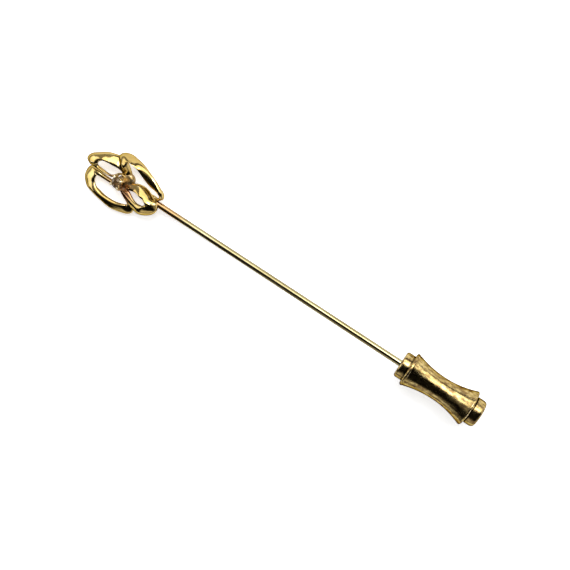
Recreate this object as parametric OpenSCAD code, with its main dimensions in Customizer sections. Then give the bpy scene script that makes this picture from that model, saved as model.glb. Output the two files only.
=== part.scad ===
// Hat pin: an open knot of four bent wires with a small set stone, a round stem
// and a pull-back clutch that grips the stem with three balls.
// Millimetres. X runs along the stem from the head to the clutch, Z is the way the stone faces.
// The origin is on the stem's axis, where the stem leaves the head.

/* [Head] */
// length of the knot of loops, along the stem
head_len = 13.6; // [12.5:0.1:15]
// width of the knot of loops, across the stem
head_w = 8.8; // [8.3:0.1:10]
// thickness of the loops at their fullest
loop_t = 1.2; // [1:0.02:1.3]
// height of the knot's middle plane above the top of the stem
head_rise = 0.05; // [0:0.01:0.1]
// radius of the boss in which the loops' ends meet
boss_r = 1.15; // [1:0.05:1.4]
// thickness of that boss
boss_t = 1.3; // [1:0.05:1.6]
// depth of the boss's middle below the knot's middle plane
boss_drop = 0.1; // [0:0.02:0.2]
// radius of the shoulder beside the boss
shoulder_r = 1.05; // [0.8:0.05:1.2]
// thickness of that shoulder
shoulder_t = 1.1; // [1:0.05:1.3]
// height of the shoulder's middle above the boss's middle
shoulder_rise = 0.04; // [0:0.02:0.15]

/* [Setting] */
// radius of the stone at its girdle
stone_r = 0.72; // [0.5:0.02:0.9]
// height of the stone's crown
crown_h = 0.25; // [0.15:0.01:0.35]
// depth of the stone below its girdle
pavilion_h = 0.6; // [0.4:0.02:0.8]
// wall of the cup around the stone
cup_wall = 0.14; // [0.1:0.01:0.2]
// height of the cup
cup_h = 0.95; // [0.9:0.05:1.3]
// depth of solder between the cup and the boss
solder_bite = 0.05; // [0.02:0.01:0.1]
// radius of a prong
prong_r = 0.18; // [0.12:0.01:0.2]

/* [Stem] */
// radius of the stem wire
stem_r = 0.45; // [0.35:0.01:0.6]
// length of stem that shows between head and clutch
stem_show = 40.4; // [25:0.1:60]
// length soldered under the head
stem_root = 1.9; // [1.5:0.1:2.5]
// how much thinner in radius the stem's root end is, under the head
root_cut = 0.05; // [0.02:0.01:0.1]
// length of stem inside the clutch, point included
stem_in_clutch = 8.3; // [7:0.1:8.6]
// how much thinner in radius the stem is where its point begins
shank_cut = 0.04; // [0.01:0.01:0.08]
// length of the ground point
point_len = 3.5; // [2:0.1:3.8]
// radius of the tip of the point
point_r = 0.06; // [0.03:0.01:0.1]

/* [Clutch] */
// running clearance around the stem, and of the sleeve on the barrel
run_gap = 0.05; // [0.02:0.01:0.08]
// clearance of the sleeve's ends around the two collars
collar_gap = 0.08; // [0.05:0.01:0.15]
// gap between faces that rest against each other
rest_gap = 0.02; // [0.01:0.005:0.04]
// outside radius of the barrel
barrel_r = 1.1; // [1:0.02:1.2]
// radius of the nose collar
nose_r = 1.86; // [1.76:0.01:1.9]
// radius of the end cap
cap_r = 1.9; // [1.8:0.02:2]
// length of nose collar that shows
nose_show = 1.2; // [0.8:0.1:2.5]
// length of end cap that shows
cap_show = 1.5; // [1.3:0.05:3]
// length of the sleeve
sleeve_len = 9.2; // [9:0.1:11]
// radius of the sleeve's front rim
front_rim_r = 2.4; // [2.35:0.01:2.6]
// radius of the sleeve's rear rim
rear_rim_r = 2.5; // [2.35:0.01:2.8]
// radius of the sleeve's waist
waist_r = 1.65; // [1.55:0.01:1.8]
// bevel on the sleeve's front rim
front_bevel = 0.16; // [0.1:0.01:0.3]
// length of the front rim's narrow land
front_land = 0.2; // [0.1:0.05:0.4]
// length of the rear rim's band
rear_band = 0.3; // [0.25:0.05:0.5]
// how far the sleeve pulls back
sleeve_travel = 0.9; // [0.5:0.05:1]
// radius of a gripping ball
ball_r = 0.4; // [0.36:0.01:0.44]
// half angle of the taper that presses the balls
taper_angle = 15; // [12:0.5:18]
// wire diameter of the spring
spring_wire = 0.25; // [0.15:0.01:0.3]
// turns of the spring
spring_turns = 5; // [3:1:5]
// room for the washer and the spring, between the sleeve's shoulder and the end cap
spring_room = 3.2; // [3:0.1:3.4]
// thickness of the thrust washer
washer_t = 0.28; // [0.2:0.02:0.36]
// depth of the end cap's socket for the barrel
socket_depth = 0.9; // [0.6:0.05:1.1]
// thickness of the barrel's closed end
barrel_floor = 0.5; // [0.3:0.05:0.6]
// how much smaller in radius the end cap's neck is, next to the sleeve
neck_cut = 0.12; // [0.05:0.01:0.2]
// length of neck that shows behind the sleeve
neck_show = 0.15; // [0.05:0.01:0.25]
// how far the end cap's front face lies inside the sleeve
cap_tuck = 0.1; // [0.05:0.01:0.2]

/* [Hidden] */
$fn = 48;
edge = 0.12;                 // small chamfer on the turned pieces
end_gap = 0.1;               // distance of the stem's even stretch from the clutch
root_end = 0.2;              // where the stem's root taper ends, past the head
mouth_flare = 0.3;           // countersink that leads the point into the barrel
pull_spare = 0.05;           // room that is left behind the sleeve at full pull
ball_lead = 0.3;             // length of taper ahead of the balls at full pull
cap_round = 0.85;            // rounding of the end cap's back edge
girdle_h = 0.05;             // height of the stone's girdle
cup_base = 0.25;             // solid base of the cup, below its hollow
claw_reach = 0.22;           // how far a prong's tip leans in over the stone
claw_rise = 0.17;            // how far it rises on the way
ball_count = 3;
prong_count = 4;
loop_sides = 12;
loop_steps = 4;              // rings for each stretch between two points of a loop
spring_sides = 6;
spring_rings = 16;           // rings in one turn of the spring

// the loops are drawn on a knot of this length, width and thickness
drawn_on = [13.6, 8.8, 1.2];
// where the boss, its shoulder and the setting sit, as drawn: along, across
boss_at = [-6.7, -0.15];
shoulder_at = [-6.05, 0.85];
setting_at = [-6.85, 0.0];

// Each point of a loop: outer line along and across, inner line along and across,
// height over the middle plane, how much higher the inner line lies, half thickness.
left_points = [
    [-6.6, -0.6, -6.9, -0.9, -0.5, 0.0, 0.40],  // starts in the boss
    [-5.2, -1.6, -6.3, -1.7, -0.7, 0.0, 0.40],  // runs behind the bottom loop
    [-4.2, -2.4, -5.6, -2.0, -0.7, 0.0, 0.40],
    [-3.8, -3.2, -5.2, -2.2, -0.6, 0.2, 0.40],  // lower end
    [-4.2, -3.8, -5.0, -2.5, -0.5, 0.2, 0.40],
    [-5.2, -4.2, -5.2, -2.7, -0.3, 0.4, 0.45],
    [-7.1, -4.5, -6.8, -3.1, -0.1, 0.2, 0.50],  // outer belly
    [-9.2, -4.2, -8.6, -3.1, 0.0, 0.2, 0.55],
    [-10.7, -3.9, -9.6, -2.9, 0.0, 0.2, 0.55],
    [-12.0, -3.7, -10.3, -2.7, -0.1, 0.6, 0.50],
    [-12.8, -3.2, -10.8, -2.3, -0.2, 0.8, 0.40],  // broad upper bend
    [-13.3, -2.4, -11.0, -1.9, -0.2, 0.8, 0.35],
    [-13.4, -1.4, -11.0, -1.4, -0.3, 1.0, 0.35],
    [-12.9, -0.6, -11.0, -1.2, -0.3, 0.8, 0.40],
    [-11.7, -0.4, -10.8, -1.2, -0.2, 0.2, 0.40],
    [-10.0, -0.5, -10.0, -1.2, -0.2, 0.0, 0.40],  // middle strand
    [-7.0, -0.6, -7.1, -1.2, -0.2, 0.0, 0.35]  // ends in the boss
];
top_points = [
    [-6.5, 0.9, -6.3, 1.2, 0.3, 0.0, 0.30],  // starts in the boss
    [-7.0, 1.0, -7.0, 1.3, 0.3, 0.0, 0.30],  // curls round the setting
    [-7.5, 0.8, -7.7, 1.1, 0.3, 0.0, 0.30],
    [-7.9, 0.4, -8.2, 0.6, 0.3, 0.0, 0.30],
    [-8.5, -0.1, -8.6, 0.3, 0.2, 0.0, 0.35],
    [-9.5, -0.2, -9.3, 0.1, 0.2, 0.0, 0.40],  // thin strand
    [-12.0, -0.2, -11.0, 0.3, 0.3, 0.0, 0.40],
    [-12.9, -0.1, -11.1, 0.6, 0.5, 0.6, 0.40],
    [-13.5, 0.3, -11.1, 0.9, 0.5, 0.8, 0.40],  // top of the knot
    [-13.4, 0.9, -11.0, 1.1, 0.5, 0.8, 0.40],
    [-12.9, 1.5, -10.8, 1.3, 0.5, 0.8, 0.40],
    [-11.8, 2.2, -10.4, 1.5, 0.5, 0.8, 0.40],
    [-10.7, 2.8, -9.6, 1.6, 0.3, 1.0, 0.40],  // broad shoulder
    [-9.6, 3.1, -8.9, 1.6, 0.2, 1.0, 0.40],
    [-8.6, 3.2, -8.0, 1.6, 0.0, 1.0, 0.40],
    [-7.7, 2.8, -7.4, 1.3, -0.4, 1.0, 0.40],  // dips behind the right loop
    [-6.0, 1.3, -7.0, 0.6, -0.5, 0.6, 0.40],
    [-5.8, 0.4, -7.0, 0.0, -0.5, 0.0, 0.40]  // ends in the boss
];
right_points = [
    [-6.2, 0.1, -5.4, 0.3, -0.1, 0.0, 0.40],  // starts in the boss
    [-6.8, 0.7, -5.2, 1.0, 0.0, 0.0, 0.45],
    [-7.1, 1.5, -6.0, 1.9, 0.1, 0.0, 0.40],
    [-7.9, 2.0, -6.6, 2.7, 0.5, 0.6, 0.40],  // crosses over the top loop
    [-8.8, 2.8, -6.6, 3.2, 0.5, 1.0, 0.35],
    [-8.9, 3.4, -6.4, 3.4, 0.5, 1.2, 0.35],  // corner
    [-8.4, 4.0, -6.1, 3.4, 0.4, 1.2, 0.45],
    [-7.4, 4.3, -5.7, 3.3, 0.2, 1.2, 0.50],
    [-6.3, 4.2, -5.2, 3.1, 0.1, 1.0, 0.50],  // long outer run
    [-5.0, 4.0, -4.6, 2.7, 0.0, 0.6, 0.50],
    [-3.4, 3.6, -3.7, 2.1, 0.0, -0.2, 0.50],
    [-1.9, 3.0, -2.6, 1.7, 0.0, -0.4, 0.50],
    [-0.9, 2.4, -1.4, 1.6, 0.0, -0.2, 0.50],
    [-0.2, 1.9, -0.7, 1.3, -0.1, 0.0, 0.50],
    [0.0, 1.2, -0.7, 1.0, -0.3, 0.0, 0.45],  // foot
    [-0.5, 0.6, -1.0, 0.7, -0.5, 0.0, 0.40],
    [-1.4, 0.1, -1.6, 0.8, -0.6, 0.0, 0.35],  // runs back behind the bottom loop
    [-4.4, -0.1, -4.3, 0.5, -0.7, 0.0, 0.35],
    [-5.9, -0.1, -5.8, 0.4, -0.5, 0.0, 0.35]  // ends in the boss
];
bottom_points = [
    [-6.1, 0.4, -5.8, -0.5, 0.1, 0.0, 0.40],  // starts in the boss
    [-5.2, 0.8, -5.0, -0.3, 0.2, 0.4, 0.40],
    [-4.3, 1.2, -4.3, -0.1, 0.2, 0.6, 0.40],
    [-3.3, 1.3, -3.6, 0.0, 0.3, 1.0, 0.40],  // broad front strand
    [-2.4, 1.1, -3.0, -0.1, 0.4, 1.2, 0.40],
    [-1.5, 0.7, -2.4, -0.2, 0.4, 1.0, 0.45],
    [-0.6, 0.3, -2.1, -0.3, 0.5, 1.0, 0.45],
    [-0.1, -0.3, -1.9, -0.4, 0.5, 1.0, 0.50],  // tip, over the stem
    [0.0, -0.9, -1.8, -0.6, 0.5, 0.6, 0.50],
    [-0.5, -1.7, -1.8, -0.8, 0.5, 0.8, 0.55],
    [-1.5, -2.4, -2.0, -1.0, 0.5, 0.8, 0.60],
    [-2.5, -2.7, -2.4, -1.1, 0.5, 0.6, 0.55],  // left strand
    [-3.5, -2.7, -3.1, -1.2, 0.3, 0.8, 0.50],
    [-4.4, -2.5, -4.0, -1.0, 0.2, 0.6, 0.45],
    [-5.9, -1.7, -5.1, -0.5, 0.1, 0.2, 0.40],
    [-6.7, -1.2, -6.1, -0.4, 0.0, 0.0, 0.40]  // ends in the boss
];

// sizes and places that follow from the sizes above
len_stretch = head_len / drawn_on[0];
w_stretch = head_w / drawn_on[1];
t_stretch = loop_t / drawn_on[2];
head_lift = stem_r + head_rise;                    // the knot's middle plane
boss_z = head_lift - boss_drop;
cup_floor = boss_z + boss_t / 2 - solder_bite;
cup_r = stone_r + cup_wall;
girdle_z = cup_floor + cup_h;
setting_x = setting_at[0] * len_stretch;
setting_y = setting_at[1] * w_stretch;
clutch_x = stem_show;
sleeve_x = clutch_x + nose_show;
sleeve_end = sleeve_x + sleeve_len;
clutch_end = sleeve_end + cap_show;
bore_r = stem_r + run_gap;
slide_r = barrel_r + run_gap;
front_mouth_r = nose_r + collar_gap;
rear_mouth_r = cap_r + collar_gap;
nose_end = sleeve_x + sleeve_travel + edge;        // nose collar stays covered at full pull
stop_x = nose_end + rest_gap;
ball_x = stop_x + sleeve_travel + ball_r + ball_lead;
ball_c = stem_r + rest_gap + ball_r;               // distance of a ball's centre from the axis
cap_x = sleeve_end - cap_tuck;                     // front face of the end cap
pocket_x = cap_x - sleeve_travel - pull_spare;     // floor of the sleeve's rear mouth
spring_r = slide_r + rest_gap + spring_wire / 2;   // mean radius of the spring
chamber_r = spring_r + spring_wire / 2 + collar_gap;
seat_x = cap_x - spring_room;                      // shoulder that the washer pushes on
washer_x = seat_x + rest_gap;
spring_x0 = washer_x + washer_t + spring_wire / 2 + rest_gap;
spring_x1 = cap_x - spring_wire / 2 - rest_gap;
waist_low = sleeve_x + front_bevel + front_land + edge / 2;
waist_high = sleeve_end - rear_band;
waist_x = (waist_low + waist_high) / 2;
barrel_end = cap_x + socket_depth;
bore_end = barrel_end - barrel_floor;
tip_x = clutch_x + stem_in_clutch;

// a point of a loop, stretched to the set sizes
function placed(p) = [
    p[0] * len_stretch, p[1] * w_stretch, p[2] * len_stretch, p[3] * w_stretch,
    head_lift + p[4] * t_stretch, p[5] * t_stretch, p[6] * t_stretch
];

// smooth curve through a list of points
function between(a, b, c, d, t) =
    0.5 * (2 * b + (c - a) * t + (2 * a - 5 * b + 4 * c - d) * t * t + (3 * b - a - 3 * c + d) * t * t * t);

function at(points, i) =
    i < 0 ? 2 * points[0] - points[1] :
    i >= len(points) ? 2 * points[len(points) - 1] - points[len(points) - 2] :
    points[i];

function route(points, steps) = [
    for (i = [0 : (len(points) - 1) * steps])
        let (k = min(floor(i / steps), len(points) - 2), t = i / steps - k)
        between(at(points, k - 1), at(points, k), at(points, k + 1), at(points, k + 2), t)
];

// an oval ring of a loop, from its inner to its outer line
function oval(p) =
    let (
        outer = [p[0], p[1], p[4] - p[5] / 2],
        inner = [p[2], p[3], p[4] + p[5] / 2],
        middle = (outer + inner) / 2,
        side = (outer - inner) / 2
    )
    [
        for (j = [0 : loop_sides - 1])
            let (a = 360 * j / loop_sides)
            middle + side * cos(a) + [0, 0, p[6] * sin(a)]
    ];

// a closed skin over rings of points
module skin(rings) {
    sides = len(rings[0]);
    last = len(rings) - 1;
    walls = [
        for (i = [0 : last - 1])
            for (j = [0 : sides - 1])
                let (
                    k = (j + 1) % sides,
                    a = i * sides + j,
                    b = i * sides + k,
                    c = a + sides,
                    d = b + sides
                )
                each [[a, c, d], [a, d, b]]
    ];
    first_cap = [for (j = [0 : sides - 1]) j];
    last_cap = [for (j = [sides - 1 : -1 : 0]) last * sides + j];
    polyhedron(points = [for (r = rings) each r], faces = concat(walls, [first_cap, last_cap]));
}

module loop(points) {
    skin([for (p = route([for (p = points) placed(p)], loop_steps)) oval(p)]);
}

// a piece turned about the stem's axis, from points [radius, place along the axis]
module turned(points) {
    rotate([0, 90, 0])
        rotate_extrude()
            polygon(points);
}

module left_loop() {
    color([0.86, 0.68, 0.28]) loop(left_points);
}

module top_loop() {
    color([0.90, 0.74, 0.34]) loop(top_points);
}

module right_loop() {
    color([0.84, 0.66, 0.26]) loop(right_points);
}

module bottom_loop() {
    color([0.88, 0.70, 0.30]) loop(bottom_points);
}

// a rounded lens of metal
module lens(place, r, t) {
    rim = t / 2;
    translate(place)
        rotate_extrude()
            intersection() {
                union() {
                    translate([0, -rim]) square([r - rim, t]);
                    translate([r - rim, 0]) circle(rim);
                }
                translate([0, -rim]) square([r, t]);
            }
}

// the lump in which the loops' ends meet, with a shoulder beside the setting
module centre_boss() {
    color([0.80, 0.58, 0.32]) {
        lens([boss_at[0] * len_stretch, boss_at[1] * w_stretch, boss_z], boss_r, boss_t);
        lens([shoulder_at[0] * len_stretch, shoulder_at[1] * w_stretch, boss_z + shoulder_rise],
            shoulder_r, shoulder_t);
    }
}

// a tapered cup with a seat for the stone
module setting_cup() {
    foot_share = 0.72;       // the cup's foot, as a share of its rim
    band_h = 0.2;            // height of the straight band below the rim
    hollow_depth = min(pavilion_h + rest_gap, cup_h - cup_base);
    rim_z = cup_h - rest_gap;
    color([0.82, 0.64, 0.34])
        translate([setting_x, setting_y, cup_floor])
            rotate_extrude()
                polygon([
                    [0, 0],
                    [cup_r * foot_share, 0],
                    [cup_r, rim_z - band_h],
                    [cup_r, rim_z],
                    [stone_r, rim_z],
                    [0, rim_z - hollow_depth]
                ]);
}

// an upright wire with a round tip bent over the stone
module prong(i) {
    first_turn = 38;
    turn = first_turn + 360 * (i - 1) / prong_count;
    stand = cup_r + prong_r - solder_bite;
    foot_z = cup_floor + cup_base;
    bend_z = girdle_z + girdle_h + rest_gap;
    lean = atan(claw_reach / claw_rise);
    color([0.92, 0.78, 0.42])
        translate([setting_x, setting_y, 0])
            rotate(turn)
                translate([stand, 0, bend_z]) {
                    translate([0, 0, foot_z - bend_z]) cylinder(h = bend_z - foot_z, r = prong_r);
                    sphere(prong_r);
                    rotate([0, -lean, 0]) cylinder(h = norm([claw_reach, claw_rise]), r = prong_r);
                    translate([-claw_reach, 0, claw_rise]) sphere(prong_r);
                }
}

// a round brilliant, table upwards
module stone() {
    table_share = 0.55;      // the flat top, as a share of the girdle
    color([0.80, 0.72, 0.70])
        translate([setting_x, setting_y, girdle_z])
            rotate_extrude()
                polygon([
                    [0, -pavilion_h],
                    [stone_r, 0],
                    [stone_r, girdle_h],
                    [stone_r * table_share, crown_h],
                    [0, crown_h]
                ]);
}

// a tapered root, an even stretch that passes through the cloth, a fine taper and the point
module pin_stem() {
    color([0.85, 0.66, 0.36])
        turned([
            [0, -stem_root],
            [stem_r - root_cut, -stem_root],
            [stem_r, root_end],
            [stem_r, clutch_x - end_gap],
            [stem_r - shank_cut, tip_x - point_len],
            [point_r, tip_x],
            [0, tip_x]
        ]);
}

// the tube that runs on the stem, with a hole for each ball
module barrel() {
    color([0.62, 0.50, 0.26])
        difference() {
            turned([
                [bore_r + mouth_flare, clutch_x],
                [barrel_r, clutch_x],
                [barrel_r, barrel_end],
                [0, barrel_end],
                [0, bore_end],
                [bore_r, bore_end],
                [bore_r, clutch_x + mouth_flare]
            ]);
            for (i = [1 : ball_count])
                rotate([360 * i / ball_count, 0, 0])
                    translate([ball_x, 0, 0])
                        cylinder(h = 2 * barrel_r, r = ball_r + rest_gap);
        }
}

module nose_collar() {
    color([0.66, 0.50, 0.24])
        turned([
            [barrel_r, clutch_x],
            [nose_r - 2 * edge, clutch_x],
            [nose_r, clutch_x + 2 * edge],
            [nose_r, nose_end],
            [barrel_r, nose_end]
        ]);
}

// a cap with a socket for the barrel, a neck next to the sleeve and a rounded back
module end_cap() {
    arc_step = 15;           // degrees between the points of the rounding
    neck_r = cap_r - neck_cut;
    neck_end = sleeve_end + neck_show;
    color([0.66, 0.50, 0.24])
        turned(concat(
            [
                [0, barrel_end],
                [barrel_r, barrel_end],
                [barrel_r, cap_x],
                [neck_r, cap_x],
                [neck_r, neck_end],
                [cap_r, neck_end + neck_cut]
            ],
            [
                for (a = [0 : arc_step : 90])
                    [cap_r - cap_round + cap_round * cos(a), clutch_end - cap_round + cap_round * sin(a)]
            ],
            [[0, clutch_end]]
        ));
}

// radius of the sleeve's hollow waist at x, rising to the rims
function waist_at(x) =
    let (
        front = x < waist_x,
        rise = front ? front_rim_r - edge / 2 - waist_r : rear_rim_r - edge / 4 - waist_r,
        share = front ? (waist_x - x) / (waist_x - waist_low) : (x - waist_x) / (waist_high - waist_x)
    )
    waist_r + rise * share * share;

// radius of the sleeve's taper at x: it clears the balls by the rest gap
function taper_at(x) =
    (ball_c * cos(taper_angle) + ball_r + rest_gap - (x - ball_x) * sin(taper_angle)) / cos(taper_angle);

// the grip sleeve: rims and waist outside, taper, bore and spring chamber inside
module sleeve() {
    waist_steps = 16;
    waist_step = (waist_high - waist_low) / waist_steps;
    taper_end = ball_x + (taper_at(ball_x) - slide_r) / tan(taper_angle);
    color([0.72, 0.54, 0.26])
        turned(concat(
            [
                [front_mouth_r, sleeve_x],
                [front_rim_r - front_bevel, sleeve_x],
                [front_rim_r, sleeve_x + front_bevel],
                [front_rim_r, sleeve_x + front_bevel + front_land]
            ],
            [for (i = [0 : waist_steps]) let (x = waist_low + waist_step * i) [waist_at(x), x]],
            [
                [rear_rim_r, waist_high + edge / 2],
                [rear_rim_r, sleeve_end - edge],
                [rear_rim_r - edge, sleeve_end],
                [rear_mouth_r, sleeve_end],
                [rear_mouth_r, pocket_x],
                [chamber_r, pocket_x],
                [chamber_r, seat_x],
                [slide_r, seat_x],
                [slide_r, taper_end],
                [taper_at(stop_x), stop_x],
                [front_mouth_r, stop_x]
            ]
        ));
}

// the ring between the spring and the sleeve, so that the sleeve can turn
module thrust_washer() {
    color([0.60, 0.60, 0.62])
        turned([
            [slide_r, washer_x],
            [chamber_r - run_gap, washer_x],
            [chamber_r - run_gap, washer_x + washer_t],
            [slide_r, washer_x + washer_t]
        ]);
}

module spring() {
    steps = spring_turns * spring_rings;
    pitch = (spring_x1 - spring_x0) / spring_turns;
    color([0.70, 0.70, 0.72])
        skin([
            for (i = [0 : steps])
                let (turn = 360 * i / spring_rings, x = spring_x0 + pitch * i / spring_rings)
                [
                    for (j = [0 : spring_sides - 1])
                        let (
                            a = 360 * j / spring_sides,
                            r = spring_r + spring_wire / 2 * sin(a)
                        )
                        [x + spring_wire / 2 * cos(a), r * cos(turn), r * sin(turn)]
                ]
        ]);
}

module ball(i) {
    color([0.75, 0.75, 0.78])
        rotate([360 * i / ball_count, 0, 0])
            translate([ball_x, 0, ball_c])
                sphere(ball_r);
}

left_loop();
top_loop();
right_loop();
bottom_loop();
centre_boss();
setting_cup();
for (i = [1 : prong_count])
    prong(i);
stone();
pin_stem();
barrel();
nose_collar();
end_cap();
sleeve();
thrust_washer();
spring();
for (i = [1 : ball_count])
    ball(i);
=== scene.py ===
import math

import bpy
from mathutils import Matrix, Vector


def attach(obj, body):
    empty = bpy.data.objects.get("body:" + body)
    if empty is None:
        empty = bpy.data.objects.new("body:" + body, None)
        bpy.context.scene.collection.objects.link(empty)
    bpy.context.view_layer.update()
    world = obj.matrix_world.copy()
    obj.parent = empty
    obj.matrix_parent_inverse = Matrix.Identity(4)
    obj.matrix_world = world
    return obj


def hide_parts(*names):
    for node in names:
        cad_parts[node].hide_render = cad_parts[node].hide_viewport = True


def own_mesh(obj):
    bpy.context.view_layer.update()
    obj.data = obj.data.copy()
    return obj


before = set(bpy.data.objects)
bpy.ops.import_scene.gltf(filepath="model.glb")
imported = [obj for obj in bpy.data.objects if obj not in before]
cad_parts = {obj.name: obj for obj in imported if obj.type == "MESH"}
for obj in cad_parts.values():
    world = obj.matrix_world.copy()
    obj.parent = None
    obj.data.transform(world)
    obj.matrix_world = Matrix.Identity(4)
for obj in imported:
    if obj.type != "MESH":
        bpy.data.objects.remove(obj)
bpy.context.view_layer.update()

MM = 0.001

# driving sizes of the stem
STEM_R = 0.45
ROOT_X = -1.9
ROOT_CUT = 0.05
ROOT_END = 0.2
ROOT_ROUND = 0.08
STEM_IN_CLUTCH = 8.3
SHANK_CUT = 0.04
SHANK_ROUND = 0.6
END_GAP = 0.1
POINT_LEN = 3.5
POINT_R = 0.06
POINT_ROUND = 0.03

# driving sizes of the clutch
CLUTCH_X = 40.4
NOSE_SHOW = 1.2
SLEEVE_LEN = 9.2
CAP_SHOW = 1.5
BARREL_R = 1.1
NOSE_R = 1.86
NOSE_ROUND = 0.35
CAP_R = 1.9
CAP_ROUND = 0.85
CAP_TUCK = 0.1
NECK_CUT = 0.12
NECK_SHOW = 0.15
SOCKET_DEPTH = 0.9
FRONT_RIM_R = 2.4
REAR_RIM_R = 2.5
WAIST_R = 1.65
FRONT_BEVEL = 0.16
FRONT_LAND = 0.2
REAR_BAND = 0.3
RIM_ROUND = 0.1
EDGE = 0.12
FINE_EDGE = 0.03
BALL_R = 0.4
BALL_LEAD = 0.3
TAPER = math.radians(15)
SLEEVE_TRAVEL = 0.9
PULL_SPARE = 0.05
SPRING_WIRE = 0.25
SPRING_TURNS = 5
SPRING_ROOM = 3.2
WASHER_T = 0.28

# gaps: between pieces that rest on each other, that run on each other, and round the collars
REST_GAP = 0.02
RUN_GAP = 0.05
COLLAR_GAP = 0.08

# places along the clutch and radii inside it
TIP_X = CLUTCH_X + STEM_IN_CLUTCH
SLEEVE_X = CLUTCH_X + NOSE_SHOW
SLEEVE_END = SLEEVE_X + SLEEVE_LEN
CLUTCH_END = SLEEVE_END + CAP_SHOW
NOSE_END = SLEEVE_X + SLEEVE_TRAVEL + EDGE
STOP_X = NOSE_END + REST_GAP
BALL_X = STOP_X + SLEEVE_TRAVEL + BALL_R + BALL_LEAD
BALL_C = STEM_R + REST_GAP + BALL_R
CAP_X = SLEEVE_END - CAP_TUCK
NECK_R = CAP_R - NECK_CUT
NECK_END = SLEEVE_END + NECK_SHOW
BARREL_END = CAP_X + SOCKET_DEPTH
POCKET_X = CAP_X - SLEEVE_TRAVEL - PULL_SPARE
SEAT_X = CAP_X - SPRING_ROOM
SLIDE_R = BARREL_R + RUN_GAP
FRONT_MOUTH_R = NOSE_R + COLLAR_GAP
REAR_MOUTH_R = CAP_R + COLLAR_GAP
SPRING_R = SLIDE_R + REST_GAP + SPRING_WIRE / 2
CHAMBER_R = SPRING_R + SPRING_WIRE / 2 + COLLAR_GAP
SPRING_X0 = SEAT_X + REST_GAP + WASHER_T + SPRING_WIRE / 2 + REST_GAP
SPRING_X1 = CAP_X - SPRING_WIRE / 2 - REST_GAP

# driving sizes of the head
HEAD_RISE = 0.05
BOSS_SPOT = (-6.7, -0.15)
BOSS_DROP = 0.1
BOSS_R = 1.15
BOSS_T = 1.3
SHOULDER_SPOT = (-6.05, 0.85)
SHOULDER_RISE = 0.04
SHOULDER_R = 1.05
SHOULDER_T = 1.1
SETTING_AT = (-6.85, 0.0)
SOLDER_BITE = 0.05
CUP_H = 0.95
CUP_WALL = 0.14
CUP_BASE = 0.25
CUP_BAND = 0.2
CUP_FOOT_SHARE = 0.72
CUP_EDGE_ROUND = 0.04
CUP_BAND_ROUND = 0.05
CUP_MOUTH_ROUND = 0.02
STONE_R = 0.72
CROWN_H = 0.25
PAVILION_H = 0.6
GIRDLE_H = 0.05
PRONG_R = 0.18
PRONG_TURN = 38
CLAW_REACH = 0.22
CLAW_RISE = 0.17

# heights and radii in the head
HEAD_LIFT = STEM_R + HEAD_RISE
BOSS_Z = HEAD_LIFT - BOSS_DROP
SHOULDER_Z = BOSS_Z + SHOULDER_RISE
CUP_FLOOR = BOSS_Z + BOSS_T / 2 - SOLDER_BITE
CUP_R = STONE_R + CUP_WALL
CUP_RIM = CUP_H - REST_GAP
PRONG_STAND = CUP_R + PRONG_R - SOLDER_BITE
GIRDLE_Z = CUP_FLOOR + CUP_H

# steps along and sides around the bent pieces, and the largest share of a stretch
# that a corner's rounding may take
LOOP_STEPS = 10
LOOP_SIDES = 40
LENS_STEPS = 12
PRONG_STEPS = 8
PRONG_SIDES = 24
WAIST_STEPS = 48
COIL_RINGS = 32
COIL_SIDES = 12
CORNER_SHARE = 0.45

# points of the loops: outer line along and across, inner line along and across,
# height over the middle plane, how much higher the inner line lies, half thickness
LEFT_LOOP = [
    (-6.6, -0.6, -6.9, -0.9, -0.5, 0.0, 0.40),  # starts in the boss
    (-5.2, -1.6, -6.3, -1.7, -0.7, 0.0, 0.40),  # runs behind the bottom loop
    (-4.2, -2.4, -5.6, -2.0, -0.7, 0.0, 0.40),
    (-3.8, -3.2, -5.2, -2.2, -0.6, 0.2, 0.40),  # lower end
    (-4.2, -3.8, -5.0, -2.5, -0.5, 0.2, 0.40),
    (-5.2, -4.2, -5.2, -2.7, -0.3, 0.4, 0.45),
    (-7.1, -4.5, -6.8, -3.1, -0.1, 0.2, 0.50),  # outer belly
    (-9.2, -4.2, -8.6, -3.1, 0.0, 0.2, 0.55),
    (-10.7, -3.9, -9.6, -2.9, 0.0, 0.2, 0.55),
    (-12.0, -3.7, -10.3, -2.7, -0.1, 0.6, 0.50),
    (-12.8, -3.2, -10.8, -2.3, -0.2, 0.8, 0.40),  # broad upper bend
    (-13.3, -2.4, -11.0, -1.9, -0.2, 0.8, 0.35),
    (-13.4, -1.4, -11.0, -1.4, -0.3, 1.0, 0.35),
    (-12.9, -0.6, -11.0, -1.2, -0.3, 0.8, 0.40),
    (-11.7, -0.4, -10.8, -1.2, -0.2, 0.2, 0.40),
    (-10.0, -0.5, -10.0, -1.2, -0.2, 0.0, 0.40),  # middle strand
    (-7.0, -0.6, -7.1, -1.2, -0.2, 0.0, 0.35),  # ends in the boss
]
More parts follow.
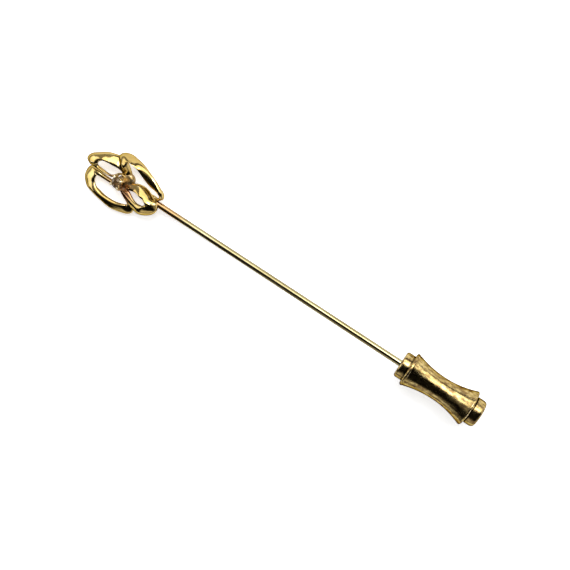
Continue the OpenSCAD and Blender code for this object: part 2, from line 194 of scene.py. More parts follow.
TOP_LOOP = [
    (-6.5, 0.9, -6.3, 1.2, 0.3, 0.0, 0.30),  # starts in the boss
    (-7.0, 1.0, -7.0, 1.3, 0.3, 0.0, 0.30),  # curls round the setting
    (-7.5, 0.8, -7.7, 1.1, 0.3, 0.0, 0.30),
    (-7.9, 0.4, -8.2, 0.6, 0.3, 0.0, 0.30),
    (-8.5, -0.1, -8.6, 0.3, 0.2, 0.0, 0.35),
    (-9.5, -0.2, -9.3, 0.1, 0.2, 0.0, 0.40),  # thin strand
    (-12.0, -0.2, -11.0, 0.3, 0.3, 0.0, 0.40),
    (-12.9, -0.1, -11.1, 0.6, 0.5, 0.6, 0.40),
    (-13.5, 0.3, -11.1, 0.9, 0.5, 0.8, 0.40),  # top of the knot
    (-13.4, 0.9, -11.0, 1.1, 0.5, 0.8, 0.40),
    (-12.9, 1.5, -10.8, 1.3, 0.5, 0.8, 0.40),
    (-11.8, 2.2, -10.4, 1.5, 0.5, 0.8, 0.40),
    (-10.7, 2.8, -9.6, 1.6, 0.3, 1.0, 0.40),  # broad shoulder
    (-9.6, 3.1, -8.9, 1.6, 0.2, 1.0, 0.40),
    (-8.6, 3.2, -8.0, 1.6, 0.0, 1.0, 0.40),
    (-7.7, 2.8, -7.4, 1.3, -0.4, 1.0, 0.40),  # dips behind the right loop
    (-6.0, 1.3, -7.0, 0.6, -0.5, 0.6, 0.40),
    (-5.8, 0.4, -7.0, 0.0, -0.5, 0.0, 0.40),  # ends in the boss
]
RIGHT_LOOP = [
    (-6.2, 0.1, -5.4, 0.3, -0.1, 0.0, 0.40),  # starts in the boss
    (-6.8, 0.7, -5.2, 1.0, 0.0, 0.0, 0.45),
    (-7.1, 1.5, -6.0, 1.9, 0.1, 0.0, 0.40),
    (-7.9, 2.0, -6.6, 2.7, 0.5, 0.6, 0.40),  # crosses over the top loop
    (-8.8, 2.8, -6.6, 3.2, 0.5, 1.0, 0.35),
    (-8.9, 3.4, -6.4, 3.4, 0.5, 1.2, 0.35),  # corner
    (-8.4, 4.0, -6.1, 3.4, 0.4, 1.2, 0.45),
    (-7.4, 4.3, -5.7, 3.3, 0.2, 1.2, 0.50),
    (-6.3, 4.2, -5.2, 3.1, 0.1, 1.0, 0.50),  # long outer run
    (-5.0, 4.0, -4.6, 2.7, 0.0, 0.6, 0.50),
    (-3.4, 3.6, -3.7, 2.1, 0.0, -0.2, 0.50),
    (-1.9, 3.0, -2.6, 1.7, 0.0, -0.4, 0.50),
    (-0.9, 2.4, -1.4, 1.6, 0.0, -0.2, 0.50),
    (-0.2, 1.9, -0.7, 1.3, -0.1, 0.0, 0.50),
    (0.0, 1.2, -0.7, 1.0, -0.3, 0.0, 0.45),  # foot
    (-0.5, 0.6, -1.0, 0.7, -0.5, 0.0, 0.40),
    (-1.4, 0.1, -1.6, 0.8, -0.6, 0.0, 0.35),  # runs back behind the bottom loop
    (-4.4, -0.1, -4.3, 0.5, -0.7, 0.0, 0.35),
    (-5.9, -0.1, -5.8, 0.4, -0.5, 0.0, 0.35),  # ends in the boss
]
BOTTOM_LOOP = [
    (-6.1, 0.4, -5.8, -0.5, 0.1, 0.0, 0.40),  # starts in the boss
    (-5.2, 0.8, -5.0, -0.3, 0.2, 0.4, 0.40),
    (-4.3, 1.2, -4.3, -0.1, 0.2, 0.6, 0.40),
    (-3.3, 1.3, -3.6, 0.0, 0.3, 1.0, 0.40),  # broad front strand
    (-2.4, 1.1, -3.0, -0.1, 0.4, 1.2, 0.40),
    (-1.5, 0.7, -2.4, -0.2, 0.4, 1.0, 0.45),
    (-0.6, 0.3, -2.1, -0.3, 0.5, 1.0, 0.45),
    (-0.1, -0.3, -1.9, -0.4, 0.5, 1.0, 0.50),  # tip, over the stem
    (0.0, -0.9, -1.8, -0.6, 0.5, 0.6, 0.50),
    (-0.5, -1.7, -1.8, -0.8, 0.5, 0.8, 0.55),
    (-1.5, -2.4, -2.0, -1.0, 0.5, 0.8, 0.60),
    (-2.5, -2.7, -2.4, -1.1, 0.5, 0.6, 0.55),  # left strand
    (-3.5, -2.7, -3.1, -1.2, 0.3, 0.8, 0.50),
    (-4.4, -2.5, -4.0, -1.0, 0.2, 0.6, 0.45),
    (-5.9, -1.7, -5.1, -0.5, 0.1, 0.2, 0.40),
    (-6.7, -1.2, -6.1, -0.4, 0.0, 0.0, 0.40),  # ends in the boss
]


# Meshes

def new_mesh(name, points, faces, smooth=True):
    mesh = bpy.data.meshes.new(name)
    mesh.from_pydata([Vector(p) * MM for p in points], [], faces)
    mesh.update()
    mesh.polygons.foreach_set("use_smooth", [smooth] * len(mesh.polygons))
    piece = bpy.data.objects.new(name, mesh)
    bpy.context.scene.collection.objects.link(piece)
    return piece


def curve_through(points, steps):
    """Smooth curve through points of any number of values."""
    ends = [
        [2 * a - b for a, b in zip(points[0], points[1])],
        [2 * a - b for a, b in zip(points[-1], points[-2])],
    ]
    full = [ends[0]] + [list(p) for p in points] + [ends[1]]
    route = []
    for k in range(len(points) - 1):
        before, start, end, after = full[k:k + 4]
        for i in range(steps):
            t = i / steps
            route.append([
                0.5 * (2 * b + (c - a) * t + (2 * a - 5 * b + 4 * c - d) * t * t
                       + (3 * b - a - 3 * c + d) * t * t * t)
                for a, b, c, d in zip(before, start, end, after)
            ])
    route.append(list(points[-1]))
    return route


def skin(name, rings):
    """Closed skin over rings with the same number of points."""
    sides = len(rings[0])
    last = len(rings) - 1
    faces = []
    for i in range(last):
        for j in range(sides):
            k = (j + 1) % sides
            faces.append((i * sides + j, i * sides + k, (i + 1) * sides + k, (i + 1) * sides + j))
    faces.append(tuple(range(sides - 1, -1, -1)))
    faces.append(tuple(last * sides + j for j in range(sides)))
    return new_mesh(name, [p for ring in rings for p in ring], faces)


def oval(middle, side, up, sides):
    """Ring of points around middle."""
    turns = [math.tau * j / sides for j in range(sides)]
    return [middle + side * math.cos(a) + up * math.sin(a) for a in turns]


def tube(name, route, sides, flat_way):
    """Closed round tube; route points are (x, y, z, radius)."""
    spots = [Vector(p[:3]) for p in route]
    last = len(route) - 1
    rings = []
    for i, p in enumerate(route):
        run = (spots[min(i + 1, last)] - spots[max(i - 1, 0)]).normalized()
        side = Vector(flat_way).cross(run).normalized()
        rings.append(oval(spots[i], side * p[3], run.cross(side) * p[3], sides))
    return skin(name, rings)


def cast_loop(name, points, steps, sides):
    """Loop of metal between an outer and an inner line."""
    rings = []
    for row in curve_through(points, steps):
        outer_x, outer_y, inner_x, inner_y, height, lean, half = row
        outer = Vector((outer_x, outer_y, HEAD_LIFT + height - lean / 2))
        inner = Vector((inner_x, inner_y, HEAD_LIFT + height + lean / 2))
        rings.append(oval((outer + inner) / 2, (outer - inner) / 2, Vector((0, 0, half)), sides))
    return skin(name, rings)


def rounded(profile, arc_steps=4):
    """Profile points (x, radius, rounding) with each corner turned into a small arc."""
    out = []
    count = len(profile)
    for i, (x, r, size) in enumerate(profile):
        here = Vector((x, r))
        before = Vector(profile[i - 1][:2])
        after = Vector(profile[(i + 1) % count][:2])
        if size <= 0:
            out.append(here)
            continue
        to_before = before - here
        to_after = after - here
        cut = min(size, to_before.length * CORNER_SHARE, to_after.length * CORNER_SHARE)
        a = here + to_before.normalized() * cut
        b = here + to_after.normalized() * cut
        for k in range(arc_steps + 1):
            t = k / arc_steps
            out.append(a * (1 - t) ** 2 + here * (2 * t * (1 - t)) + b * t * t)
    return out


def split(profile, longest):
    """The same closed profile with no stretch longer than given."""
    out = []
    count = len(profile)
    for i in range(count):
        a = profile[i]
        b = profile[(i + 1) % count]
        pieces = max(1, math.ceil((b - a).length / longest))
        for k in range(pieces):
            out.append(a.lerp(b, k / pieces))
    return out


def lathe(name, profile, longest, segments, centre=(0, 0, 0), axis="X"):
    """Solid turned about an axis from a closed profile of (along, radius) points."""
    axis_r = 1e-6
    line = split(profile, longest)
    points = []
    rings = []
    for p in line:
        if p[1] < axis_r:
            rings.append([len(points)])
            points.append((p[0], 0, 0))
            continue
        ring = []
        for j in range(segments):
            a = math.tau * j / segments
            ring.append(len(points))
            points.append((p[0], p[1] * math.cos(a), p[1] * math.sin(a)))
        rings.append(ring)
    faces = []
    for i in range(len(rings)):
        a = rings[i]
        b = rings[(i + 1) % len(rings)]
        if len(a) == 1 and len(b) == 1:
            continue
        for j in range(segments):
            k = (j + 1) % segments
            if len(a) == 1:
                faces.append((a[0], b[k], b[j]))
            elif len(b) == 1:
                faces.append((a[j], a[k], b[0]))
            else:
                faces.append((a[j], a[k], b[k], b[j]))
    if axis == "Z":
        points = [(p[1], p[2], p[0]) for p in points]
    points = [Vector(p) + Vector(centre) for p in points]
    return new_mesh(name, points, faces)


# Materials

# spans of pointiness and of noise over which each effect comes in
EDGE_SPAN = (0.515, 0.58)
HOLLOW_SPAN = (0.49, 0.40)
FLECK_SPAN = (0.50, 0.70)
SCRATCH_SPAN = (0.35, 0.7)
CLOUD_SPAN = (0.3, 0.7)

# how strongly each effect covers what lies under it, and the share of a stain's reach
# that keeps its full tone
WORN_SHARE = 0.8
TARNISH_SHARE = 0.85
FLECK_SHARE = 0.7
FLECK_DULL = 0.12
# how dark the rings of painted shade in the gaps get
PAINTED_SHADE_SHARE = 0.8
STAIN_SHARE = 0.9
STAIN_CORE = 0.4

# relief: broad dents against scratches, turning lines and the depth of both
DENT_RATIO = 6
LINE_SHARE = 0.6
LINE_SCALE = 0.314
LINE_WOBBLE = 1.5
RELIEF_MM = 0.02


def ramp(tree, source, stops):
    node = tree.nodes.new("ShaderNodeValToRGB")
    node.color_ramp.elements[0].position = stops[0][0]
    node.color_ramp.elements[0].color = (*stops[0][1], 1)
    node.color_ramp.elements[1].position = stops[-1][0]
    node.color_ramp.elements[1].color = (*stops[-1][1], 1)
    for place, colour in stops[1:-1]:
        node.color_ramp.elements.new(place).color = (*colour, 1)
    tree.links.new(source, node.inputs["Fac"])
    return node.outputs["Color"]


def to_range(tree, source, low, high, out_low, out_high):
    node = tree.nodes.new("ShaderNodeMapRange")
    node.inputs["From Min"].default_value = low
    node.inputs["From Max"].default_value = high
    node.inputs["To Min"].default_value = out_low
    node.inputs["To Max"].default_value = out_high
    tree.links.new(source, node.inputs["Value"])
    return node.outputs["Result"]


def blend_colour(tree, share, colour, tone):
    node = tree.nodes.new("ShaderNodeMix")
    node.data_type = "RGBA"
    tree.links.new(share, node.inputs["Factor"])
    tree.links.new(colour, node.inputs["A"])
    node.inputs["B"].default_value = (*tone, 1)
    return node.outputs["Result"]


def maths(tree, operation, *terms):
    """One step of arithmetic on sockets and constants."""
    node = tree.nodes.new("ShaderNodeMath")
    node.operation = operation
    for entry, term in zip(node.inputs, terms):
        if isinstance(term, bpy.types.NodeSocket):
            tree.links.new(term, entry)
        else:
            entry.default_value = term
    return node.outputs["Value"]


def noise(tree, where, size_mm, detail, stretch=(1, 1, 1)):
    """Noise with features of about the given size; stretch lengthens them along an axis."""
    mapping = tree.nodes.new("ShaderNodeMapping")
    mapping.inputs["Scale"].default_value = [1 / (size_mm * MM * s) for s in stretch]
    tree.links.new(where, mapping.inputs["Vector"])
    node = tree.nodes.new("ShaderNodeTexNoise")
    node.inputs["Scale"].default_value = 1
    node.inputs["Detail"].default_value = detail
    tree.links.new(mapping.outputs["Vector"], node.inputs["Vector"])
    return node.outputs["Fac"]


def metal(name, tones, worn, tarnish_and_shade_tone, roughness, patch_mm, stretch, scratch_mm, bump,
          grazing_shade=(0.42, 0.36, 0.26), patch_span=(0.3, 0.72), lines_mm=0, stains=(), flecks=None,
          painted_shade_rings=()):
    """Plated metal: soft patches of tone, bright worn edges, dark patina in the hollows, fine scratches
    and optional rings of painted shade.

    Grazing is the tone seen along the surface; set dark, it paints shade into the reflections near the
    edges.
    A narrow patch span sets the patches off from one another.
    Lines are the turning marks of a lathe, given by their distance.
    Stains are a place, a reach in millimetres and a tone that fades out from there.
    Flecks are a size in millimetres and a tone of small spots where the plating is worn.
    Painted shade rings are places along X where the shade in a gap between parts is painted on as a
    dark ring, each with its reach in millimetres.
    """
    material = bpy.data.materials.new(name)
    material.use_nodes = True
    tree = material.node_tree
    shader = tree.nodes["Principled BSDF"]
    shader.inputs["Metallic"].default_value = 1
    # the tone seen along the surface is set dark: painted shade in the reflections near the edges
    shader.inputs["Specular Tint"].default_value = (*grazing_shade, 1)
    where = tree.nodes.new("ShaderNodeTexCoord").outputs["Object"]
    point = tree.nodes.new("ShaderNodeNewGeometry").outputs["Pointiness"]

    patches = noise(tree, where, patch_mm, detail=5, stretch=stretch)
    places = (patch_span[0], 0.5, patch_span[1])
    colour = ramp(tree, patches, list(zip(places, tones)))
    for place, reach, tone in stains:
        away = tree.nodes.new("ShaderNodeVectorMath")
        away.operation = "DISTANCE"
        away.inputs[1].default_value = Vector(place) * MM
        tree.links.new(where, away.inputs[0])
        fade_end = reach * MM
        near = to_range(tree, away.outputs["Value"], fade_end * STAIN_CORE, fade_end, STAIN_SHARE, 0)
        colour = blend_colour(tree, near, colour, tone)
    if flecks:
        fleck_mm, fleck_tone = flecks
        fleck_noise = noise(tree, where, fleck_mm, detail=4, stretch=stretch)
        spots = to_range(tree, fleck_noise, *FLECK_SPAN, 0, FLECK_SHARE)
        colour = blend_colour(tree, spots, colour, fleck_tone)
    edges = to_range(tree, point, *EDGE_SPAN, 0, WORN_SHARE)
    colour = blend_colour(tree, edges, colour, worn)
    hollows = to_range(tree, point, *HOLLOW_SPAN, 0, TARNISH_SHARE)
    colour = blend_colour(tree, hollows, colour, tarnish_and_shade_tone)
    # painted shade: dark rings at given places along X, where gaps between parts lie in shade, in the
    # tarnish tone
    for shade_ring_x, reach in painted_shade_rings:
        along = tree.nodes.new("ShaderNodeSeparateXYZ")
        tree.links.new(where, along.inputs["Vector"])
        inside = maths(tree, "COMPARE", along.outputs["X"], shade_ring_x * MM, reach * MM)
        painted_shade = to_range(tree, inside, 0, 1, 0, PAINTED_SHADE_SHARE)
        colour = blend_colour(tree, painted_shade, colour, tarnish_and_shade_tone)
    tree.links.new(colour, shader.inputs["Base Color"])

    scratches = noise(tree, where, scratch_mm, detail=3, stretch=stretch)
    rough = to_range(tree, scratches, *SCRATCH_SPAN, *roughness)
    if flecks:
        dull = to_range(tree, fleck_noise, *FLECK_SPAN, 0, FLECK_DULL)
        rough = maths(tree, "ADD", rough, dull)
    tree.links.new(rough, shader.inputs["Roughness"])

    dent_noise = noise(tree, where, scratch_mm * DENT_RATIO, detail=2)
    relief = maths(tree, "ADD", scratches, dent_noise)
    if lines_mm:
        wave = tree.nodes.new("ShaderNodeTexWave")
        wave.inputs["Scale"].default_value = LINE_SCALE / (lines_mm * MM)
        wave.inputs["Distortion"].default_value = LINE_WOBBLE
        wave.inputs["Detail"].default_value = 3
        tree.links.new(where, wave.inputs["Vector"])
        relief = maths(tree, "MULTIPLY_ADD", wave.outputs["Fac"], LINE_SHARE, relief)
    dents = tree.nodes.new("ShaderNodeBump")
    dents.inputs["Strength"].default_value = bump
    dents.inputs["Distance"].default_value = RELIEF_MM * MM
    tree.links.new(relief, dents.inputs["Height"])
    tree.links.new(dents.outputs["Normal"], shader.inputs["Normal"])
    return material


def gem(name):
    """Small stone with a warm cloudy tint."""
    material = bpy.data.materials.new(name)
    material.use_nodes = True
    tree = material.node_tree
    shader = tree.nodes["Principled BSDF"]
    shader.inputs["Transmission Weight"].default_value = 0.7
    shader.inputs["IOR"].default_value = 1.75
    shader.inputs["Specular Tint"].default_value = (1, 0.84, 0.62, 1)
    where = tree.nodes.new("ShaderNodeTexCoord").outputs["Object"]
    cloud = noise(tree, where, size_mm=0.5, detail=3)
    tones = ((0.13, 0.065, 0.02), (0.40, 0.25, 0.11))
    tint = ramp(tree, cloud, list(zip(CLOUD_SPAN, tones)))
    tree.links.new(tint, shader.inputs["Base Color"])
    rough = to_range(tree, cloud, *CLOUD_SPAN, 0.02, 0.08)
    tree.links.new(rough, shader.inputs["Roughness"])
    return material


# the dark grazing tones of the head, the stem and the clutch paint shade into the reflections at their
# edges
head_gold = metal(
    "head_gold", ((0.36, 0.24, 0.075), (0.49, 0.35, 0.12), (0.61, 0.47, 0.21)),
    worn=(0.90, 0.76, 0.46), tarnish_and_shade_tone=(0.14, 0.075, 0.025), roughness=(0.09, 0.17),
    patch_mm=1.6, stretch=(1.6, 1, 1), scratch_mm=0.12, bump=0.06, grazing_shade=(0.12, 0.10, 0.06),
    stains=(((-5.6, -1.0, 0.6), 2.2, (0.50, 0.25, 0.13)),
            ((-8.2, -0.3, 0.5), 1.8, (0.40, 0.24, 0.11))))
copper_solder = metal(
    "copper_solder", ((0.25, 0.16, 0.06), (0.38, 0.26, 0.11), (0.50, 0.36, 0.18)),
    worn=(0.74, 0.55, 0.32), tarnish_and_shade_tone=(0.10, 0.05, 0.025), roughness=(0.30, 0.50),
    patch_mm=0.7, stretch=(1, 1, 1), scratch_mm=0.10, bump=0.25,
    stains=(((-6.1, -0.9, 0.8), 1.0, (0.56, 0.26, 0.15)),))
stem_gold = metal(
    "stem_gold", ((0.27, 0.22, 0.10), (0.38, 0.32, 0.16), (0.48, 0.42, 0.24)),
    worn=(0.88, 0.72, 0.44), tarnish_and_shade_tone=(0.16, 0.09, 0.04), roughness=(0.07, 0.16),
    patch_mm=1.2, stretch=(4, 1, 1), scratch_mm=0.10, bump=0.10, grazing_shade=(0.05, 0.045, 0.025),
    stains=(((0.6, 0, 0), 4.5, (0.44, 0.27, 0.12)),))
clutch_brass = metal(
    "clutch_brass", ((0.20, 0.12, 0.05), (0.39, 0.28, 0.10), (0.55, 0.42, 0.18)),
    worn=(0.84, 0.70, 0.44), tarnish_and_shade_tone=(0.05, 0.032, 0.015), roughness=(0.06, 0.24),
    patch_mm=0.4, stretch=(2, 1, 1), scratch_mm=0.09, bump=0.22, patch_span=(0.36, 0.62), lines_mm=0.09,
    grazing_shade=(0.14, 0.12, 0.09), flecks=(0.22, (0.13, 0.10, 0.06)),
    # painted shade in the gaps: on the nose just in front of the sleeve, and in the cap's neck
    painted_shade_rings=((SLEEVE_X - 0.1, 0.1), (NECK_END - 0.05, 0.12)))
# the claws are a paler gold than the head: a painted highlight that stands in for the light on their
# tips
claw_highlight_gold = metal(
    "claw_highlight_gold", ((0.60, 0.45, 0.20), (0.76, 0.61, 0.33), (0.88, 0.76, 0.50)),
    worn=(0.92, 0.82, 0.58), tarnish_and_shade_tone=(0.16, 0.09, 0.04), roughness=(0.22, 0.36),
    patch_mm=0.3, stretch=(1, 1, 1), scratch_mm=0.06, bump=0.12)
steel = metal(
    "steel", ((0.42, 0.42, 0.43), (0.56, 0.56, 0.57), (0.66, 0.66, 0.67)),
    worn=(0.75, 0.75, 0.76), tarnish_and_shade_tone=(0.14, 0.12, 0.10), roughness=(0.12, 0.25),
    patch_mm=0.5, stretch=(1, 1, 1), scratch_mm=0.06, bump=0.10)
stone_glass = gem("stone")


def dress(piece, body, nodes, material):
    piece.data.materials.append(material)
    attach(piece, body)
    if nodes:
        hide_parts(*nodes)


# Head

loops = []
for label, points in (("left_loop", LEFT_LOOP), ("top_loop", TOP_LOOP),
                      ("right_loop", RIGHT_LOOP), ("bottom_loop", BOTTOM_LOOP)):
    loop = cast_loop("smooth_" + label, points, LOOP_STEPS, LOOP_SIDES)
    dress(loop, "pin", [label], head_gold)
    loops.append(loop)


def lens(name, place, r, t):
    """Rounded lens of metal."""
    half = t / 2
    line = [Vector((-half, 0))]
    for i in range(LENS_STEPS + 1):
        a = math.pi * i / LENS_STEPS
        line.append(Vector((-half * math.cos(a), r - half + half * math.sin(a))))
    line.append(Vector((half, 0)))
    return lathe(name, line, longest=0.1, segments=64, centre=place, axis="Z")


boss = lens("smooth_boss", (*BOSS_SPOT, BOSS_Z), BOSS_R, BOSS_T)
dress(boss, "pin", ["centre_boss"], copper_solder)
shoulder = lens("smooth_shoulder", (*SHOULDER_SPOT, SHOULDER_Z), SHOULDER_R, SHOULDER_T)
dress(shoulder, "pin", [], copper_solder)

cup_line = [
    (0, 0, 0),
    (0, CUP_R * CUP_FOOT_SHARE, CUP_EDGE_ROUND),
    (CUP_RIM - CUP_BAND, CUP_R, CUP_BAND_ROUND),
    (CUP_RIM, CUP_R, CUP_EDGE_ROUND),
    (CUP_RIM, STONE_R, CUP_MOUTH_ROUND),
    (CUP_RIM - PAVILION_H - REST_GAP, 0, 0),
]
cup_at = (*SETTING_AT, CUP_FLOOR)
cup = lathe("turned_cup", rounded(cup_line), longest=0.08, segments=64, centre=cup_at, axis="Z")
dress(cup, "pin", ["setting_cup"], head_gold)

# a prong's line: how far it leans in over the stone, height, share of the prong's radius
FOOT_Z = CUP_FLOOR + CUP_BASE
BEND_Z = GIRDLE_Z + GIRDLE_H + REST_GAP
CLAW_Z = BEND_Z + CLAW_RISE
PRONG_LINE = [
    (0, FOOT_Z, 0.9),
    (0, FOOT_Z + CUP_BASE, 0.95),
    (0, GIRDLE_Z - CUP_BASE, 1.0),
    (0.01, BEND_Z - 0.08, 1.0),
    (0.05, BEND_Z + 0.04, 1.0),
    (CLAW_REACH * 0.7, BEND_Z + CLAW_RISE * 0.72, 1.0),
    (CLAW_REACH, CLAW_Z, 0.98),
    (CLAW_REACH + 0.06, CLAW_Z + 0.055, 0.75),
    (CLAW_REACH + 0.10, CLAW_Z + 0.085, 0.30),
]
for i in range(4):
    turn = math.radians(PRONG_TURN + 90 * i)
    outward = Vector((math.cos(turn), math.sin(turn)))
    route = []
    for lean_in, z, share in PRONG_LINE:
        spot = Vector(SETTING_AT) + outward * (PRONG_STAND - lean_in)
        route.append((spot.x, spot.y, z, PRONG_R * share))
    flat_way = (-outward.y, outward.x, 0)
    prong = tube(f"claw_{i + 1}", curve_through(route, PRONG_STEPS), PRONG_SIDES, flat_way)
    dress(prong, "pin", [f"prong_{i + 1}"], claw_highlight_gold)

# the stone's cut: radii as shares of its own, heights as shares of crown and pavilion
FACETS = 8
TABLE_SHARE = 0.55
STAR_SHARE = 0.78
STAR_RISE = 0.52
MAIN_SHARE = 0.25
MAIN_DEPTH = 0.76


def corner_ring(radius, count, z, shift=0):
    turns = [math.tau * (j + shift) / count for j in range(count)]
    return [(radius * math.cos(a), radius * math.sin(a), z) for a in turns]


def cut_stone(name):
    """Round brilliant with a table, star, main and girdle facets, and a pointed pavilion."""
    sides = FACETS
    star_z = GIRDLE_H + (CROWN_H - GIRDLE_H) * STAR_RISE
    points = corner_ring(STONE_R * TABLE_SHARE, sides, CROWN_H)
    points += corner_ring(STONE_R * STAR_SHARE, sides, star_z, 0.5)
    points += corner_ring(STONE_R, 2 * sides, GIRDLE_H)
    points += corner_ring(STONE_R, 2 * sides, 0)
    points += corner_ring(STONE_R * MAIN_SHARE, sides, -PAVILION_H * MAIN_DEPTH)
    points.append((0, 0, -PAVILION_H))
    star, upper, lower, main = sides, 2 * sides, 4 * sides, 6 * sides
    tip = 7 * sides
    faces = [tuple(range(sides))]
    for j in range(sides):
        k = (j + 1) % sides
        before = (j - 1) % sides
        even, odd, after = 2 * j, 2 * j + 1, (2 * j + 2) % (2 * sides)
        faces.append((j, star + j, k))
        faces.append((j, star + before, upper + even, star + j))
        faces.append((star + j, upper + even, upper + odd))
        faces.append((star + j, upper + odd, upper + after))
        faces.append((upper + even, lower + even, lower + odd, upper + odd))
        faces.append((upper + odd, lower + odd, lower + after, upper + after))
        faces.append((lower + even, main + j, lower + odd))
        faces.append((lower + odd, main + j, main + k))
        faces.append((lower + odd, main + k, lower + after))
        faces.append((main + j, tip, main + k))
    place = Vector((*SETTING_AT, GIRDLE_Z))
    return new_mesh(name, [Vector(p) + place for p in points], faces, smooth=False)


stone = cut_stone("cut_stone")
dress(stone, "pin", ["stone"], stone_glass)

# Stem

stem_line = [
    (ROOT_X, 0, 0),
    (ROOT_X, STEM_R - ROOT_CUT, ROOT_ROUND),
    (ROOT_END, STEM_R, 0),
    (CLUTCH_X - END_GAP, STEM_R, 0),
    (TIP_X - POINT_LEN, STEM_R - SHANK_CUT, SHANK_ROUND),
    (TIP_X, POINT_R, POINT_ROUND),
    (TIP_X, 0, 0),
]
stem = lathe("drawn_stem", rounded(stem_line), longest=0.5, segments=64)
dress(stem, "pin", ["pin_stem"], stem_gold)

# Clutch

nose_line = [
    (CLUTCH_X, BARREL_R, 0),
    (CLUTCH_X, NOSE_R, NOSE_ROUND),
    (NOSE_END, NOSE_R, FINE_EDGE),
    (NOSE_END, BARREL_R, 0),
]
nose = lathe("turned_nose", rounded(nose_line), longest=0.1, segments=128)
dress(nose, "clutch", ["nose_collar"], clutch_brass)

cap_line = [
    (BARREL_END, 0, 0),
    (BARREL_END, BARREL_R, 0),
    (CAP_X, BARREL_R, 0),
    (CAP_X, NECK_R, FINE_EDGE),
    (NECK_END, NECK_R, FINE_EDGE),
    (NECK_END + NECK_CUT, CAP_R, FINE_EDGE),
    (CLUTCH_END, CAP_R, CAP_ROUND),
    (CLUTCH_END, 0, 0),
]
cap = lathe("turned_cap", rounded(cap_line, arc_steps=8), longest=0.1, segments=128)
dress(cap, "clutch", ["end_cap"], clutch_brass)

WAIST_LOW = SLEEVE_X + FRONT_BEVEL + FRONT_LAND + EDGE / 2
WAIST_HIGH = SLEEVE_END - REAR_BAND


def waist_profile(steps):
    """Outer line of the sleeve between its rims."""
    middle = (WAIST_LOW + WAIST_HIGH) / 2
    line = []
    for i in range(steps + 1):
        x = WAIST_LOW + (WAIST_HIGH - WAIST_LOW) * i / steps
        if x < middle:
            rise = FRONT_RIM_R - EDGE / 2 - WAIST_R
            share = (middle - x) / (middle - WAIST_LOW)
        else:
            rise = REAR_RIM_R - EDGE / 4 - WAIST_R
            share = (x - middle) / (WAIST_HIGH - middle)
        line.append((x, WAIST_R + rise * share * share, 0))
    return line


def taper_r(x):
    """Radius of the taper that presses the balls in."""
    return BALL_C + (BALL_R + REST_GAP) / math.cos(TAPER) - (x - BALL_X) * math.tan(TAPER)


taper_end = BALL_X + (taper_r(BALL_X) - SLIDE_R) / math.tan(TAPER)
sleeve_line = [
    (SLEEVE_X, FRONT_MOUTH_R, FINE_EDGE),
    (SLEEVE_X, FRONT_RIM_R - FRONT_BEVEL, RIM_ROUND),
    (SLEEVE_X + FRONT_BEVEL, FRONT_RIM_R, RIM_ROUND),
    (SLEEVE_X + FRONT_BEVEL + FRONT_LAND, FRONT_RIM_R, FINE_EDGE),
]
sleeve_line += waist_profile(WAIST_STEPS)
sleeve_line += [
    (WAIST_HIGH + EDGE / 2, REAR_RIM_R, FINE_EDGE),
    (SLEEVE_END - EDGE, REAR_RIM_R, FINE_EDGE),
    (SLEEVE_END, REAR_RIM_R - EDGE, FINE_EDGE),
    (SLEEVE_END, REAR_MOUTH_R, FINE_EDGE),
    (POCKET_X, REAR_MOUTH_R, 0),
    (POCKET_X, CHAMBER_R, 0),
    (SEAT_X, CHAMBER_R, 0),
    (SEAT_X, SLIDE_R, 0),
    (taper_end, SLIDE_R, 0),
    (STOP_X, taper_r(STOP_X), 0),
    (STOP_X, FRONT_MOUTH_R, 0),
]
sleeve = lathe("turned_sleeve", rounded(sleeve_line), longest=0.12, segments=160)
dress(sleeve, "grip", ["sleeve"], clutch_brass)

coil = []
coil_steps = SPRING_TURNS * COIL_RINGS
for i in range(coil_steps + 1):
    a = math.tau * i / COIL_RINGS
    x = SPRING_X0 + (SPRING_X1 - SPRING_X0) * i / coil_steps
    coil.append((x, SPRING_R * math.cos(a), SPRING_R * math.sin(a), SPRING_WIRE / 2))
spring = tube("wound_spring", coil, COIL_SIDES, (1, 0, 0))
dress(spring, "clutch", ["spring"], steel)
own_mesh(spring)

# the pieces inside the clutch keep their solids' own shapes
for label, material in (("barrel", clutch_brass), ("thrust_washer", steel),
                        ("ball_1", steel), ("ball_2", steel), ("ball_3", steel)):
    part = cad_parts[label]
    part.data.materials.clear()
    part.data.materials.append(material)

# Camera: a close view from above, with the head at the upper left

SENSOR_MM = 36
LENS_MM = 41.28
CAMERA_AT = (39.08, 30.48, 82.86)
CAMERA_BACK = (0.1942, 0.3355, 0.9218)
CAMERA_UP = (-0.5371, 0.8227, -0.1862)
NEAREST_SEEN = 5

camera_data = bpy.data.cameras.new("camera")
camera_data.sensor_width = SENSOR_MM
camera_data.lens = LENS_MM
camera_data.clip_start = NEAREST_SEEN * MM
camera = bpy.data.objects.new("camera", camera_data)
bpy.context.scene.collection.objects.link(camera)
back = Vector(CAMERA_BACK).normalized()
right = Vector(CAMERA_UP).cross(back).normalized()
up = back.cross(right)
turned = Matrix((right, up, back)).transposed().to_4x4()
camera.matrix_world = Matrix.Translation(Vector(CAMERA_AT) * MM) @ turned
bpy.context.scene.camera = camera

# Floor, tilted a little so that the pin rests on the sleeve's front rim and on the knot

HALF_FLOOR = 600
PAPER_ROUGHNESS = 0.9
PAPER_SHEEN = 0.1
PAPER_TONES = ((0.90, 0.90, 0.90), (0.93, 0.93, 0.93))
PAPER_GLOW = 0.66

RIM_X = SLEEVE_X + FRONT_BEVEL
knot_points = [vertex.co / MM for loop in loops for vertex in loop.data.vertices]
slope = max((p.z + FRONT_RIM_R) / (p.x - RIM_X) for p in knot_points)
corners = [(HALF_FLOOR * i, HALF_FLOOR * j) for i, j in ((-1, -1), (1, -1), (1, 1), (-1, 1))]
sheet = [(x, y, slope * (x - RIM_X) - FRONT_RIM_R) for x, y in corners]
floor = new_mesh("floor", sheet, [(0, 1, 2, 3)])

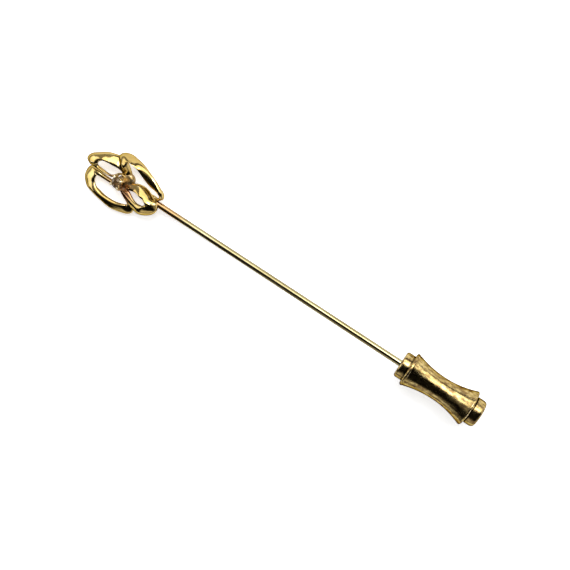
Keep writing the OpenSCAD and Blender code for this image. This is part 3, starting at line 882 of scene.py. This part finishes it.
paper = bpy.data.materials.new("paper")
paper.use_nodes = True
tree = paper.node_tree
shader = tree.nodes["Principled BSDF"]
shader.inputs["Roughness"].default_value = PAPER_ROUGHNESS
shader.inputs["Specular IOR Level"].default_value = PAPER_SHEEN
where = tree.nodes.new("ShaderNodeTexCoord").outputs["Object"]
fibres = noise(tree, where, size_mm=0.4, detail=4)
grain = ramp(tree, fibres, list(zip(CLOUD_SPAN, PAPER_TONES)))
tree.links.new(grain, shader.inputs["Base Color"])
light = tree.nodes.new("ShaderNodeLightPath")
seen = light.outputs["Is Camera Ray"]
for kind in ("Is Glossy Ray", "Is Transmission Ray"):
    seen = maths(tree, "MAXIMUM", seen, light.outputs[kind])
shader.inputs["Emission Color"].default_value = (1, 1, 1, 1)
tree.links.new(to_range(tree, seen, 0, 1, 0, PAPER_GLOW), shader.inputs["Emission Strength"])
floor.data.materials.append(paper)

# Light: a pale room with dark zones that polished metal shows, and five soft lamps

ROOM_LEVEL = 0.45
AIM_X = 20

# dark and dim zones: turned from overhead towards X and Y, half angle, softness, level
ZONES = [
    (20, -5, 42, 4, 0.02),
    (50, 12, 24, 4, 0.06),
    (-40, -55, 29, 4, 0.02),
    (-26, -22, 18, 4, 0.04),
    (0, 85, 32, 8, 0.32),
]

world = bpy.data.worlds.new("studio")
bpy.context.scene.world = world
world.use_nodes = True
tree = world.node_tree
sky = tree.nodes["Background"]
sky.inputs["Color"].default_value = (1, 1, 1, 1)
direction = tree.nodes.new("ShaderNodeTexCoord").outputs["Generated"]
strength = ROOM_LEVEL
for turn_x, turn_y, half_angle, soft, shade in ZONES:
    tilt = math.radians(math.hypot(turn_x, turn_y))
    way = math.atan2(turn_y, turn_x)
    along = tree.nodes.new("ShaderNodeVectorMath")
    along.operation = "DOT_PRODUCT"
    along.inputs[1].default_value = (
        math.sin(tilt) * math.cos(way), math.sin(tilt) * math.sin(way), math.cos(tilt))
    tree.links.new(direction, along.inputs[0])
    outer = math.cos(math.radians(half_angle + soft))
    inner = math.cos(math.radians(half_angle - soft))
    zone = to_range(tree, along.outputs["Value"], outer, inner, 1, shade)
    strength = maths(tree, "MULTIPLY", strength, zone)
tree.links.new(strength, sky.inputs["Strength"])


def soft_lamp(name, size, energy, offset):
    """Rectangular lamp aimed at the middle of the stem; its size and offset are metres."""
    data = bpy.data.lights.new(name, "AREA")
    data.shape = "RECTANGLE"
    data.size, data.size_y = size
    data.energy = energy
    lamp = bpy.data.objects.new(name, data)
    bpy.context.scene.collection.objects.link(lamp)
    aim = Vector((AIM_X, 0, 0)) * MM
    lamp.location = aim + Vector(offset)
    lamp.rotation_mode = "QUATERNION"
    lamp.rotation_quaternion = (aim - lamp.location).to_track_quat("-Z", "Y")


soft_lamp("side_lamp", (0.46, 0.34), 1.35, (-0.05, 0.31, 0.25))
soft_lamp("core_lamp", (0.16, 0.12), 0.42, (0.025, 0.285, 0.265))
soft_lamp("low_lamp", (0.22, 0.20), 0.30, (0.20, 0.34, 0.13))
soft_lamp("far_lamp", (0.36, 0.16), 0.10, (0.07, -0.36, 0.15))
soft_lamp("end_lamp", (0.30, 0.20), 0.35, (-0.36, -0.06, 0.17))

bpy.context.scene.view_settings.view_transform = "Standard"
